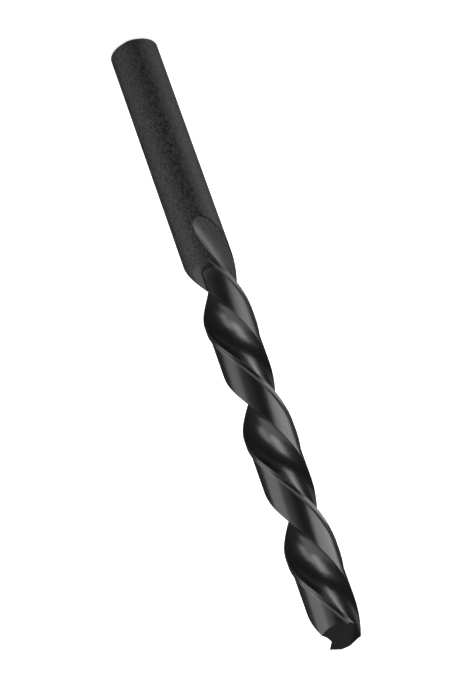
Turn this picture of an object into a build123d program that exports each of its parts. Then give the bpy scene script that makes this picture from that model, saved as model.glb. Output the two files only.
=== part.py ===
from build123d import *
import os
from math import asin, atan2, cos, degrees, hypot, radians, sin, sqrt, tan

# A left-hand jobber twist drill, ground from one bar of high-speed steel.
# It stands on its shank end: the origin is the centre of that end face and +Z runs
# along the axis to the point. All sizes are in millimetres, all angles in degrees.

# ---------------------------------------------------------------- driving sizes
drill_diameter = 9.0              # across the outer corners of the lips
overall_length = 125.0            # shank end face to chisel edge

# shank
shank_diameter = 8.95             # from here the fluted part widens to drill_diameter: its back taper
shank_length = 40.0               # parallel, from the end face to just short of the flutes
end_chamfer_width = 1.45          # radial
end_chamfer_length = 1.1          # along the axis

# fluted body
helix_lead = 46.5                 # axial length of one turn
web_thickness = 3.5               # solid core between the flutes
land_angle = 80.0                 # seen along the axis, leading edge to heel
flute_floor_run = 3.6             # how far the flute's floor runs on before it climbs to the heel
heel_hook = 7.0                   # how far the far wall leans back over the floor, by tool_radius
flute_reach = 69.7                # full-depth flute, measured back from the chisel edge
run_out_length = 14.8             # along the axis, from full depth to a bare shank
run_out_lift_power = 2.5          # 2 would be a plain parabola
run_out_turn_share = 0.57         # share of the helix's turning rate left at the very end
run_out_lift_angle = 45.0         # from the leading edge towards the flute

# margins and the relieved lands behind them
margin_angle = 10.5
body_clearance = 0.34             # radial
clearance_reach = 73.5            # relieved length, measured back from the chisel edge
clearance_side = 1.6              # how far past the axis the relieving wheel reached sideways
clearance_corner = 0.7            # corner radius of that wheel
clearance_lag = 64.0              # from the way that wheel faced to the leading edge at its start

# point
point_angle = 118.0
lip_relief_angle = 13.5
chisel_width = 1.5                # length of the chisel edge that the thinning leaves
thinned_lip = 2.1                 # where the thinning starts on the lip, from the axis
thinning_heading = 111.0          # of the groove's bottom, from the lip towards the flute
thinning_fall = 45.0              # of the groove's bottom, from level

# modelling
clear_of_blank = 1.0              # tool solids reach past the blank by this much
last_lift = 0.05                  # clearance over the blank where a flute has run out
lip_steps = 4                     # parts of the lip that shape the flute's leading face
run_out_steps = 7                 # flute sections along the run-out

# ---------------------------------------------------------------- derived sizes
radius = drill_diameter / 2
shank_radius = shank_diameter / 2
web_radius = web_thickness / 2
relieved_radius = radius - body_clearance
half_point = radians(point_angle / 2)
relief = tan(radians(lip_relief_angle))
turn_rate = 360 / helix_lead
flute_angle = 180 - land_angle

# The lips lie web_radius ahead of the axis, so each outer corner is this far out along its lip,
# and the two flank planes meet in a level chisel edge at overall_length.
lip_reach = sqrt(radius**2 - web_radius**2)
flank_height = overall_length + relief * web_radius
corner_height = flank_height - lip_reach / tan(half_point)
corner_angle = -degrees(asin(web_radius / radius))

full_depth_height = overall_length - flute_reach
flute_depth = radius - web_radius
tool_radius = radius + clear_of_blank
blank_top = overall_length + clear_of_blank
tool_top = blank_top + clear_of_blank
back_taper = (radius - shank_radius) / (corner_height - shank_length)


def helix_angle(height):
    """Angle of the first land's leading edge at a height: a left-hand helix."""
    return corner_angle + turn_rate * (corner_height - height)


def polar(distance, angle):
    return (distance * cos(radians(angle)), distance * sin(radians(angle)))


def leading_face_point(along_lip):
    """Flute face that meets the point in a straight lip, with the leading edge on the X axis."""
    turned = turn_rate * (lip_reach - along_lip) / tan(half_point)
    ahead_of_lip = degrees(atan2(web_radius, along_lip)) + corner_angle
    return polar(hypot(along_lip, web_radius), turned - ahead_of_lip)


def flute_outline():
    """Cross-section of one flute, with the leading edge on the sketch's X axis."""
    face_start = leading_face_point(sqrt(tool_radius**2 - web_radius**2))
    face_points = [leading_face_point(lip_reach * (1 - step / lip_steps)) for step in range(lip_steps + 1)]
    web_point = face_points[-1]
    floor_step = polar(flute_floor_run, degrees(atan2(web_point[1], web_point[0])) - 90)
    floor_control = (web_point[0] + floor_step[0], web_point[1] + floor_step[1])
    mouth_angle = heel_hook - flute_angle
    past_heel = polar(tool_radius, mouth_angle)
    with BuildLine() as outline:
        Spline(face_start, *face_points)
        Bezier(web_point, floor_control, past_heel)
        ThreePointArc(past_heel, polar(tool_radius, mouth_angle / 2), face_start)
    return outline.edges()


def run_out_plane(distance):
    """Plane of the flute section at a distance into the run-out: it turns ever less and lifts out."""
    share = distance / run_out_length
    slowing = (1 - run_out_turn_share) * share / 2
    angle = helix_angle(full_depth_height) + turn_rate * distance * (1 - slowing)
    lift = (flute_depth + last_lift) * share**run_out_lift_power
    shift = polar(lift, angle - run_out_lift_angle)
    return Plane(
        origin=(shift[0], shift[1], full_depth_height - distance),
        x_dir=(*polar(1, angle), 0),
        z_dir=(0, 0, 1),
    )


# ---------------------------------------------------------------- flute cutter
flute_length = tool_top - full_depth_height
with BuildLine() as drill_axis:
    Line((0, 0, full_depth_height), (0, 0, tool_top))
with BuildLine() as body_helix:
    Helix(helix_lead, flute_length, radius, center=(0, 0, full_depth_height), lefthand=True)

with BuildPart() as flute_cutter:
    with BuildSketch(run_out_plane(0)):
        make_face(flute_outline())
    sweep(path=drill_axis.wire(), binormal=body_helix.edge())
    for step in range(run_out_steps + 1):
        with BuildSketch(run_out_plane(step / run_out_steps * run_out_length)):
            make_face(flute_outline())
    loft()

# ---------------------------------------------------------------- body clearance cutter
# A helical sector behind each margin, as deep as the relieved radius. Where it starts, the side
# and the rounded corner of the relieving wheel bound it.
clearance_height = overall_length - clearance_reach
clearance_length = tool_top - clearance_height
wheel_side_length = helix_lead / 7
side_plane = Plane(
    origin=(0, 0, clearance_height),
    x_dir=(*polar(1, helix_angle(clearance_height) - clearance_lag), 0),
    z_dir=(0, 0, 1),
)
with BuildLine() as clearance_axis:
    Line((0, 0, clearance_height), (0, 0, tool_top))
with BuildLine() as clearance_helix:
    Helix(helix_lead, clearance_length, radius, center=(0, 0, clearance_height), lefthand=True)

with BuildPart() as wheel_reach:
    with Locations(side_plane * Location((-clearance_side, 0, 0))):
        Box(
            clearance_side + 2 * tool_radius,
            4 * tool_radius,
            wheel_side_length,
            align=(Align.MIN, Align.CENTER, Align.MIN),
        )
    corner = wheel_reach.edges().filter_by(GeomType.LINE).group_by(Axis.Z)[0]
    fillet(corner.sort_by(Axis(side_plane.origin, side_plane.x_dir))[0], clearance_corner)
    with Locations((0, 0, clearance_height + wheel_side_length)):
        Cylinder(
            2 * tool_radius,
            clearance_length - wheel_side_length,
            align=(Align.CENTER, Align.CENTER, Align.MIN),
        )
    Cylinder(relieved_radius, 2 * tool_top, mode=Mode.SUBTRACT)

with BuildPart() as clearance_cutter:
    leading_edge = Plane(
        origin=(0, 0, clearance_height), x_dir=(*polar(1, helix_angle(clearance_height)), 0), z_dir=(0, 0, 1)
    )
    with BuildSketch(leading_edge):
        with BuildLine():
            past_heel = land_angle + margin_angle / 2
            Line(polar(web_radius, margin_angle), polar(tool_radius, margin_angle))
            ThreePointArc(
                polar(tool_radius, margin_angle), polar(tool_radius, land_angle / 2), polar(tool_radius, past_heel)
            )
            Line(polar(tool_radius, past_heel), polar(web_radius, past_heel))
            Line(polar(web_radius, past_heel), polar(web_radius, margin_angle))
        make_face()
    sweep(path=clearance_axis.wire(), binormal=clearance_helix.edge())
    add(wheel_reach.part, mode=Mode.INTERSECT)

# ---------------------------------------------------------------- point grinding
# Each flank is a plane through its lip, falling away behind it by the relief angle.
flank_normal = (1 / tan(half_point), relief, 1)
flank_plane = Plane(origin=(0, -web_radius, flank_height), x_dir=(0, 1, -relief), z_dir=flank_normal)

# The thinning groove starts at one end of the chisel edge and runs down into the flute.
# Its floor also holds the thinned lip, and its other wall is upright.
chisel_angle = degrees(atan2(-1 / tan(half_point), relief))
chisel_end = Vector(*polar(chisel_width / 2, chisel_angle), overall_length)
thinned_end = Vector(thinned_lip, -web_radius, flank_height - thinned_lip / tan(half_point))
groove = Vector(*polar(cos(radians(thinning_fall)), -thinning_heading), -sin(radians(thinning_fall)))
lip_run = thinned_end - chisel_end
groove_plane = Plane(origin=chisel_end, x_dir=lip_run - groove * lip_run.dot(groove), z_dir=groove)
groove_wall = groove_plane.to_local_coords(chisel_end + Vector(0, 0, 1))
wall_angle = degrees(atan2(groove_wall.Y, groove_wall.X))

with BuildPart() as point_cutter:
    with Locations(flank_plane):
        Box(
            4 * tool_radius,
            4 * tool_radius,
            4 * tool_radius,
            align=(Align.CENTER, Align.CENTER, Align.MIN),
        )
    with BuildSketch(groove_plane):
        with BuildLine():
            Polyline((0, 0), (radius, 0), polar(2 * radius, wall_angle / 2), polar(radius, wall_angle), close=True)
        make_face()
    extrude(amount=radius, both=True)

# ---------------------------------------------------------------- drill
with BuildPart() as drill:
    with BuildSketch(Plane.YZ):
        with BuildLine():
            Polyline(
                (0, 0),
                (shank_radius - end_chamfer_width, 0),
                (shank_radius, end_chamfer_length),
                (shank_radius, shank_length),
                (shank_radius + back_taper * (blank_top - shank_length), blank_top),
                (0, blank_top),
                close=True,
            )
        make_face()
    revolve(axis=Axis.Z)
    with PolarLocations(0, 2):
        add(flute_cutter.part, mode=Mode.SUBTRACT)
    with PolarLocations(0, 2):
        add(clearance_cutter.part, mode=Mode.SUBTRACT)
    with PolarLocations(0, 2):
        add(point_cutter.part, mode=Mode.SUBTRACT)

drill.part.label = "twist_drill"
os.makedirs("parts", exist_ok=True)
export_step(drill.part, "parts/twist_drill.step")
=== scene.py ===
import math

import bmesh
import bpy
from mathutils import Matrix, Vector


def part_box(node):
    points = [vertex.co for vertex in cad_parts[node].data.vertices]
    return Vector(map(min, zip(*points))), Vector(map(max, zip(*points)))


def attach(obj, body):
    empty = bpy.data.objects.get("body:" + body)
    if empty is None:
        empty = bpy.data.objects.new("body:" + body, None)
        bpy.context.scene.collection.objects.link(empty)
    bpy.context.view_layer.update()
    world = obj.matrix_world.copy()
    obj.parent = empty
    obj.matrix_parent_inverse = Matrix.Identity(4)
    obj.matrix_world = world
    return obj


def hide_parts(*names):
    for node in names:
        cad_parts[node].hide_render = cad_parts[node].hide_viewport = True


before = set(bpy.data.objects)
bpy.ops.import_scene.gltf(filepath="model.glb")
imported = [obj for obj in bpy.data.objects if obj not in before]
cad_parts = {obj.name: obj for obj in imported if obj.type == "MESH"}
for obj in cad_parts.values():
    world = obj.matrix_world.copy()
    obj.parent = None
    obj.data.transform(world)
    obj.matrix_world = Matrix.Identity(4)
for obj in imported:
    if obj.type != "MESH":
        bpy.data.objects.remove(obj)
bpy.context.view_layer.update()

MM = 0.001

# ------------------------------------------------------------------ sizes of the drill
drill_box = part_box("twist_drill")

# Lengths and radii here are in millimetres and angles in degrees, as in the solid.
helix_lead = 46.5
corner_height = 122.93            # outer corners of the lips
corner_angle = -22.9              # of the first corner, seen along the axis
land_angle = 80.0
margin_angle = 10.5
shank_end_height = 40.5
shank_grain_end = 50.0            # the shank's grain fades out above this height
shank_grain_fade = 1.5
run_out_top = 55.3                # the flutes are at full depth from here up
point_region = 110.0              # only faces above this height can be flanks
relieved_radius = 4.16

# ------------------------------------------------------------------ thinning of the point
outer_corner_place = (4.146, -1.75, corner_height)
chisel_end_place = (0.279, -0.696, 125.0)
thinning_heading = -125.0         # of the groove's bottom, seen along the axis
thinning_fall = 45.0              # of the groove's bottom, from level
thinning_wall_lean = 30.0         # of the groove's other wall, from upright
wheel_width = 6.0 * MM
wheel_crown = 1.6                 # reach of the wheel's middle, in wheel widths
wheel_reach = 2.2 * MM            # past the chisel end, along the groove
above_point = 4.0 * MM            # wheel length that stays above the point
weld_distance = 0.0005 * MM
sharp_angle = 20                  # edges that turn more than this stay crisp


def direction(azimuth, elevation):
    """Unit vector towards an azimuth and elevation, both in radians."""
    return Vector(
        (
            math.cos(azimuth) * math.cos(elevation),
            math.sin(azimuth) * math.cos(elevation),
            math.sin(elevation),
        )
    )


def new_object(name, content):
    item = bpy.data.objects.new(name, content)
    bpy.context.scene.collection.objects.link(item)
    return item


def thinning_wedge(name, side):
    """The grinding wheel's wedge: its floor holds the whole lip, its other wall leans back."""
    half_turn = Vector((side, side, 1))
    outer_corner = Vector(outer_corner_place) * half_turn * MM
    chisel_end = Vector(chisel_end_place) * half_turn * MM
    groove = direction(math.radians(thinning_heading), -math.radians(thinning_fall)) * half_turn
    lip = outer_corner - chisel_end
    floor_side = (lip - groove * lip.dot(groove)).normalized()
    upright = Vector((0, 0, 1))
    upright = (upright - groove * upright.dot(groove)).normalized()
    turning = floor_side.cross(upright).dot(groove)
    opening = floor_side.angle(upright) + math.radians(thinning_wall_lean)
    shape = bmesh.new()
    corners = []
    for share, reach in ((0, 0), (0, 1), (0.5, wheel_crown), (1, 1)):
        turn = Matrix.Rotation(math.copysign(opening * share, turning), 3, groove)
        corners.append(
            shape.verts.new(chisel_end - groove * above_point + turn @ floor_side * reach * wheel_width)
        )
    section = shape.faces.new(corners)
    swept = bmesh.ops.extrude_face_region(shape, geom=[section])["geom"]
    swept_verts = [item for item in swept if isinstance(item, bmesh.types.BMVert)]
    bmesh.ops.translate(shape, verts=swept_verts, vec=groove * (above_point + wheel_reach))
    bmesh.ops.recalc_face_normals(shape, faces=shape.faces)
    mesh = bpy.data.meshes.new(name)
    shape.to_mesh(mesh)
    shape.free()
    return new_object(name, mesh)


def carve(piece, cutters):
    """The piece with the cutters' shapes taken out of it. The cutters are used up."""
    for cutter in cutters:
        cut = piece.modifiers.new(cutter.name, "BOOLEAN")
        cut.object = cutter
        cut.solver = "EXACT"
    bpy.context.view_layer.update()
    settled = piece.evaluated_get(bpy.context.evaluated_depsgraph_get())
    carved = bpy.data.meshes.new_from_object(settled)
    piece.modifiers.clear()
    piece.data = carved
    for cutter in cutters:
        bpy.data.objects.remove(cutter)


def merged_copy(node, name):
    """One closed mesh of a CAD node."""
    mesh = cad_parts[node].data.copy()
    shape = bmesh.new()
    shape.from_mesh(mesh)
    bmesh.ops.remove_doubles(shape, verts=shape.verts, dist=weld_distance)
    shape.to_mesh(mesh)
    shape.free()
    mesh.materials.clear()
    piece = new_object(name, mesh)
    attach(piece, "root")
    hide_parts(node)
    return piece


def shade(piece):
    """Smooth over its curved faces and crisp along its ground edges."""
    shape = bmesh.new()
    shape.from_mesh(piece.data)
    for face in shape.faces:
        face.smooth = True
    for edge in shape.edges:
        edge.smooth = edge.calc_face_angle(math.pi) < math.radians(sharp_angle)
    shape.to_mesh(piece.data)
    shape.free()


drill = merged_copy("twist_drill", "drill_steel")
carve(drill, [thinning_wedge("first_wedge", 1), thinning_wedge("second_wedge", -1)])
shade(drill)


# ------------------------------------------------------------------ node layout
class NodeBench:
    """A node tree with short ways to lay out sums, ramps and mixes."""

    def __init__(self, tree):
        self.tree = tree

    def new(self, kind, **settings):
        node = self.tree.nodes.new(kind)
        for name, value in settings.items():
            setattr(node, name, value)
        return node

    def feed(self, socket, value):
        if isinstance(value, bpy.types.NodeSocket):
            self.tree.links.new(value, socket)
        elif value is not None:
            socket.default_value = value

    def sum(self, operation, first, second=None, third=None, clamp=False):
        node = self.new("ShaderNodeMath", operation=operation, use_clamp=clamp)
        for socket, value in zip(node.inputs, (first, second, third)):
            self.feed(socket, value)
        return node.outputs[0]

    def ramp(self, value, low, high, start=0.0, stop=1.0):
        """A soft step: start at low, stop at high."""
        node = self.new("ShaderNodeMapRange", interpolation_type="SMOOTHSTEP")
        for name, item in (
            ("Value", value), ("From Min", low), ("From Max", high), ("To Min", start), ("To Max", stop)
        ):
            self.feed(node.inputs[name], item)
        return node.outputs["Result"]

    def band(self, value, low, high, soft):
        """One between low and high, with soft shoulders outside."""
        rise = self.ramp(value, low - soft, low)
        fall = self.ramp(value, high, high + soft, 1.0, 0.0)
        return self.sum("MULTIPLY", rise, fall)

    def both(self, *masks):
        """The product of all the masks."""
        product = masks[0]
        for mask in masks[1:]:
            product = self.sum("MULTIPLY", product, mask)
        return product

    def mix(self, factor, first, second):
        node = self.new("ShaderNodeMix", data_type="FLOAT")
        self.feed(node.inputs["Factor"], factor)
        self.feed(node.inputs["A"], first)
        self.feed(node.inputs["B"], second)
        return node.outputs["Result"]

    def blend(self, factor, first, second):
        node = self.new("ShaderNodeMix", data_type="RGBA")
        self.feed(node.inputs["Factor"], factor)
        first_colour, second_colour = (socket for socket in node.inputs if socket.type == "RGBA")
        self.feed(first_colour, first)
        self.feed(second_colour, second)
        return next(socket for socket in node.outputs if socket.type == "RGBA")

    def noise(self, place, scale, detail, roughness=0.5):
        node = self.new("ShaderNodeTexNoise")
        self.feed(node.inputs["Vector"], place)
        self.feed(node.inputs["Scale"], scale)
        self.feed(node.inputs["Detail"], detail)
        self.feed(node.inputs["Roughness"], roughness)
        return node.outputs["Fac"]


def shared_group(name, outputs):
    """The bench and the output node of a new shader node group with the given value outputs."""
    tree = bpy.data.node_groups.new(name, "ShaderNodeTree")
    for output in outputs:
        tree.interface.new_socket(output, in_out="OUTPUT", socket_type="NodeSocketFloat")
    bench = NodeBench(tree)
    return bench, bench.new("NodeGroupOutput")


def millimetres(bench):
    """The place on the drill along X, Y and Z, in millimetres."""
    coordinates = bench.new("ShaderNodeTexCoord")
    split = bench.new("ShaderNodeSeparateXYZ")
    bench.feed(split.inputs[0], coordinates.outputs["Object"])
    return [bench.sum("MULTIPLY", socket, 1 / MM) for socket in split.outputs]


def distance_from_axis(bench, across, along):
    squares = bench.sum("ADD", bench.both(across, across), bench.both(along, along))
    return bench.sum("SQRT", squares)


def drill_places():
    """Masks of the shank, flutes, run-outs and flanks, and of the edges: a worn leading edge of the
    margin, and painted highlights along the margin's step and the heel.
    """
    bench, output = shared_group("drill_places", ("Shank", "Flute", "Run-out", "Flank", "Wear and highlight"))
    across, along, up = millimetres(bench)
    radius = distance_from_axis(bench, across, along)
    bearing = bench.sum("DEGREES", bench.sum("ARCTAN2", along, across))
    turned = bench.sum("MULTIPLY", bench.sum("SUBTRACT", corner_height, up), 360 / helix_lead)
    leading = bench.sum("ADD", turned, corner_angle)
    phase = bench.sum("FLOORED_MODULO", bench.sum("SUBTRACT", bearing, leading), 180.0)

    outside = bench.ramp(radius, relieved_radius - 0.10, relieved_radius - 0.03)
    rim = bench.ramp(radius, relieved_radius + 0.06, relieved_radius + 0.20)
    above_shank = bench.ramp(up, shank_end_height - 0.3, shank_end_height + 0.3)
    surface = bench.new("ShaderNodeNewGeometry")
    facing = bench.new("ShaderNodeSeparateXYZ")
    bench.feed(facing.inputs[0], surface.outputs["True Normal"])
    near_point = bench.ramp(up, point_region, point_region + 2.0)
    flank = bench.both(bench.ramp(facing.outputs["Z"], 0.74, 0.78), near_point)
    above_grain = bench.ramp(up, shank_grain_end, shank_grain_end + shank_grain_fade)
    below_grain = bench.ramp(up, shank_grain_end, shank_grain_end + shank_grain_fade, 1.0, 0.0)
    shank = bench.both(rim, below_grain)
    margin = bench.both(rim, above_grain)
    land = bench.both(outside, bench.sum("SUBTRACT", 1.0, rim))
    inside = bench.sum("SUBTRACT", 1.0, outside)
    lifting = bench.ramp(up, run_out_top - 6.0, run_out_top - 1.5, 1.0, 0.0)
    run_out = bench.both(bench.sum("SUBTRACT", 1.0, rim), above_shank, lifting)
    flute = bench.both(inside, bench.sum("SUBTRACT", 1.0, run_out))
    lead_edge = bench.sum(
        "ADD", bench.ramp(phase, 0.0, 1.6, 1.0, 0.0), bench.ramp(phase, 178.6, 179.6)
    )
    # Painted highlight: bands behind the margin's step and along the heel stand in for light caught on
    # their small rounded edges; the margin's leading edge is real wear.
    back_edge = bench.band(phase, margin_angle - 0.5, margin_angle + 2.0, 2.0)
    heel_edge = bench.band(phase, land_angle - 3.0, land_angle + 1.0, 1.5)
    step_highlight = bench.both(back_edge, bench.sum("ADD", margin, land, clamp=True))
    faint_heel_highlight = bench.sum("MULTIPLY", bench.both(heel_edge, land), 0.1)
    faint_lead = bench.both(lead_edge, margin, 0.5)
    edges = bench.sum("ADD", faint_lead, bench.sum("ADD", step_highlight, faint_heel_highlight), clamp=True)
    for socket, value in zip(output.inputs, (shank, flute, run_out, flank, edges)):
        bench.feed(socket, value)
    return bench.tree


def grinding_lines():
    """Lines in the run-outs and along the flutes, and arcs across the flanks, left by the wheels."""
    bench, output = shared_group("grinding_lines", ("Run-out lines", "Flank arcs", "Wheel lines"))
    across, along, up = millimetres(bench)
    run_out_facing = math.radians(-10.0)
    line_slant = 0.25
    line_pitch = 0.52
    arc_centre = 3.4
    arc_pitch = 0.42
    drawn_out = 0.05
    facing_x, facing_y = math.cos(run_out_facing), math.sin(run_out_facing)
    outward = bench.sum("ADD", bench.both(across, facing_x), bench.both(along, facing_y))
    side = bench.sum("SIGN", outward)
    sideways = bench.sum("ADD", bench.both(across, -facing_y), bench.both(along, facing_x))
    stack = bench.sum("MULTIPLY_ADD", sideways, side, bench.both(up, line_slant))
    wave = bench.sum("SINE", bench.sum("MULTIPLY", stack, 2 * math.pi / line_pitch))
    lines = bench.ramp(wave, -0.2, 0.9)

    flank_side = bench.sum("SIGN", along)
    shifted = bench.sum("MULTIPLY_ADD", flank_side, arc_centre, along)
    reach = distance_from_axis(bench, across, shifted)
    arcs = bench.sum("SINE", bench.sum("MULTIPLY", reach, 2 * math.pi / arc_pitch))
    bench.feed(output.inputs["Run-out lines"], lines)
    bench.feed(output.inputs["Flank arcs"], bench.ramp(arcs, -1.0, 1.0))

    # Lines along the helix: the pattern turns with the flutes and is drawn out along them.
    turn = bench.sum("RADIANS", bench.sum("MULTIPLY", up, 360 / helix_lead))
    cosine, sine = bench.sum("COSINE", turn), bench.sum("SINE", turn)
    unturned_x = bench.sum("SUBTRACT", bench.both(across, cosine), bench.both(along, sine))
    unturned_y = bench.sum("ADD", bench.both(across, sine), bench.both(along, cosine))
    helical = bench.new("ShaderNodeCombineXYZ")
    for socket, value in zip(helical.inputs, (unturned_x, unturned_y, bench.both(up, drawn_out))):
        bench.feed(socket, value)
    wheel = bench.noise(helical.outputs[0], scale=3.2, detail=2.0)
    bench.feed(output.inputs["Wheel lines"], bench.ramp(wheel, 0.3, 0.7))
    return bench.tree


def oxide_grain():
    """Fine speckle of the black oxide, and its slow, faint unevenness."""
    bench, output = shared_group("oxide_grain", ("Speckle", "Cloud"))
    coordinates = bench.new("ShaderNodeTexCoord")
    place = coordinates.outputs["Object"]
    speckle = bench.noise(place, scale=2600.0, detail=3.0, roughness=0.7)
    cloud = bench.noise(place, scale=160.0, detail=2.0)
    bench.feed(output.inputs["Speckle"], bench.ramp(speckle, 0.36, 0.64))
    bench.feed(output.inputs["Cloud"], bench.ramp(cloud, 0.3, 0.7))
    return bench.tree


# ------------------------------------------------------------------ blackened steel
steel = bpy.data.materials.new("blackened_steel")
steel.use_nodes = True
bench = NodeBench(steel.node_tree)
shader = steel.node_tree.nodes["Principled BSDF"]
places = bench.new("ShaderNodeGroup", node_tree=drill_places()).outputs
ground = bench.new("ShaderNodeGroup", node_tree=grinding_lines()).outputs
grain = bench.new("ShaderNodeGroup", node_tree=oxide_grain()).outputs

oxide_dark = (0.0040, 0.0037, 0.0035, 1)
oxide_light = (0.0062, 0.0058, 0.0055, 1)
speckle_dark = (0.0010, 0.0009, 0.0008, 1)
speckle_light = (0.0260, 0.0252, 0.0242, 1)
line_light = (0.085, 0.084, 0.082, 1)
line_dark = (0.016, 0.016, 0.0155, 1)
flank_oxide = (0.0060, 0.0058, 0.0056, 1)
bare_steel_and_highlight = (0.16, 0.16, 0.16, 1)
edge_wear_and_highlight = 0.5

shank_tone = bench.blend(grain["Speckle"], speckle_dark, speckle_light)
body_tone = bench.blend(grain["Cloud"], oxide_dark, oxide_light)
tone = bench.blend(places["Shank"], body_tone, shank_tone)
lined = bench.blend(ground["Run-out lines"], line_light, line_dark)
tone = bench.blend(places["Run-out"], tone, lined)
tone = bench.blend(places["Flank"], tone, flank_oxide)
# Lighter steel on the edges: real wear on the margin's leading edge, and painted highlight along the
# margin's step and the heel.
tone = bench.blend(bench.sum("MULTIPLY", places["Wear and highlight"], edge_wear_and_highlight), tone, bare_steel_and_highlight)
bench.feed(shader.inputs["Base Color"], tone)

rough = bench.mix(places["Shank"], 0.30, bench.mix(grain["Speckle"], 0.40, 0.62))
rough = bench.mix(places["Run-out"], rough, 0.42)
rough = bench.mix(places["Flute"], rough, 0.28)
bench.feed(shader.inputs["Roughness"], rough)

rim_weight = bench.new("ShaderNodeLayerWeight")
rim_weight.inputs["Blend"].default_value = 0.5
edge_fade = bench.ramp(rim_weight.outputs["Facing"], 0.80, 1.0, 1.0, 0.15)
level = bench.mix(places["Shank"], 0.85, bench.mix(grain["Speckle"], 0.44, 0.78))
bench.feed(shader.inputs["Specular IOR Level"], bench.sum("MULTIPLY", level, edge_fade))
shader.inputs["IOR"].default_value = 1.8
shader.inputs["Metallic"].default_value = 0.0

relief_height = bench.sum(
    "ADD",
    bench.both(places["Run-out"], ground["Run-out lines"], 0.8),
    bench.both(places["Flank"], ground["Flank arcs"], 0.15),
)
shank_relief = bench.both(grain["Speckle"], places["Shank"], 1.2)
relief_height = bench.sum("ADD", relief_height, shank_relief)
flute_relief = bench.both(ground["Wheel lines"], places["Flute"], 0.5)
relief_height = bench.sum("ADD", relief_height, flute_relief)
bump = bench.new("ShaderNodeBump")
bump.inputs["Strength"].default_value = 0.5
bump.inputs["Distance"].default_value = 0.02 * MM
bench.feed(bump.inputs["Height"], relief_height)
bench.feed(shader.inputs["Normal"], bump.outputs["Normal"])
drill.data.materials.append(steel)

# ------------------------------------------------------------------ floor
# The floor is left out of mirrored rays and casts no shadow, so low panels light the drill.
floor_size = 4.0
paper_glow = 0.85                 # seen by the camera only
shape = bmesh.new()
bmesh.ops.create_grid(shape, x_segments=1, y_segments=1, size=floor_size / 2)
floor_mesh = bpy.data.meshes.new("floor")
shape.to_mesh(floor_mesh)
shape.free()
floor = new_object("floor", floor_mesh)
floor.visible_glossy = False
floor.visible_shadow = False
paper = bpy.data.materials.new("white_paper")
paper.use_nodes = True
paper_shader = paper.node_tree.nodes["Principled BSDF"]
paper_shader.inputs["Base Color"].default_value = (0.9, 0.9, 0.9, 1)
paper_shader.inputs["Roughness"].default_value = 0.9
paper_shader.inputs["Specular IOR Level"].default_value = 0.0
paper_shader.inputs["Emission Color"].default_value = (1, 1, 1, 1)
paper_bench = NodeBench(paper.node_tree)
paper_light = paper_bench.new("ShaderNodeLightPath")
paper_bench.feed(
    paper_shader.inputs["Emission Strength"],
    paper_bench.sum("MULTIPLY", paper_light.outputs["Is Camera Ray"], paper_glow),
)
floor.data.materials.append(paper)

# ------------------------------------------------------------------ camera
camera_aim = Vector((-0.20, 0.91, 66.25)) * MM
camera_distance = 483.2 * MM
camera_azimuth = math.radians(12.48)
camera_elevation = math.radians(28.31)
camera_roll = math.radians(-160.46)
camera_lens = 144.0


camera_data = bpy.data.cameras.new("camera")
camera_data.lens = camera_lens
camera_data.sensor_width = 36.0
camera_data.clip_start = 0.01
camera_data.clip_end = 20.0
camera = new_object("camera", camera_data)
outward = direction(camera_azimuth, camera_elevation)
upright = outward.to_track_quat("Z", "Y").to_matrix()
camera.matrix_world = Matrix.Translation(camera_aim + outward * camera_distance) @ (
    upright @ Matrix.Rotation(-camera_roll, 3, "Z")
).to_4x4()
bpy.context.scene.camera = camera

# ------------------------------------------------------------------ studio light
front = 12.5                      # azimuth from which the panels' own azimuths are counted
middle_of_drill = Vector((0, 0, drill_box[1].z / 2))


def softbox(name, turned, elevation, distance, width, height, watts):
    """A rectangular panel that faces the middle of the drill. Angles are in degrees, sizes in metres."""
    lamp = bpy.data.lights.new(name, "AREA")
    lamp.shape = "RECTANGLE"
    lamp.size = width
    lamp.size_y = height
    lamp.energy = watts
    holder = new_object(name, lamp)
    outward = direction(math.radians(front + turned), math.radians(elevation))
    holder.matrix_world = Matrix.Translation(middle_of_drill + outward * distance) @ (
        outward.to_track_quat("Z", "Y").to_matrix().to_4x4()
    )
    return holder


softbox("right_panel", -85, -24, 1.0, 1.5, 0.26, 2.3)
softbox("left_panel", 38, -4, 1.0, 1.1, 0.30, 2.2)
softbox("lower_left_panel", 70, -23, 1.0, 1.0, 0.22, 0.85)
softbox("far_left_panel", 98, 4, 1.0, 1.2, 0.7, 1.4)
softbox("upper_right_panel", -65, 25, 1.0, 0.5, 0.3, 0.25)
softbox("back_panel", 180, 50, 1.2, 1.0, 0.8, 4.0)
overhead = softbox("overhead_panel", 0, 80, 1.4, 1.2, 1.2, 9)
overhead.visible_glossy = False

room_light = 0.35                 # on rough surfaces
mirrored_room = 0.035             # in mirrored rays: the steel shows a dark room
white_background = 1.0            # seen by the camera

world = bpy.data.worlds.new("studio")
world.use_nodes = True
world_bench = NodeBench(world.node_tree)
background = world.node_tree.nodes["Background"]
rays = world_bench.new("ShaderNodeLightPath").outputs
seen = world_bench.sum("MAXIMUM", rays["Is Camera Ray"], rays["Is Transmission Ray"])
room = world_bench.mix(rays["Is Glossy Ray"], room_light, mirrored_room)
world_bench.feed(background.inputs["Strength"], world_bench.mix(seen, room, white_background))
background.inputs["Color"].default_value = (1, 1, 1, 1)
bpy.context.scene.world = world

bpy.context.scene.view_settings.view_transform = "Standard"
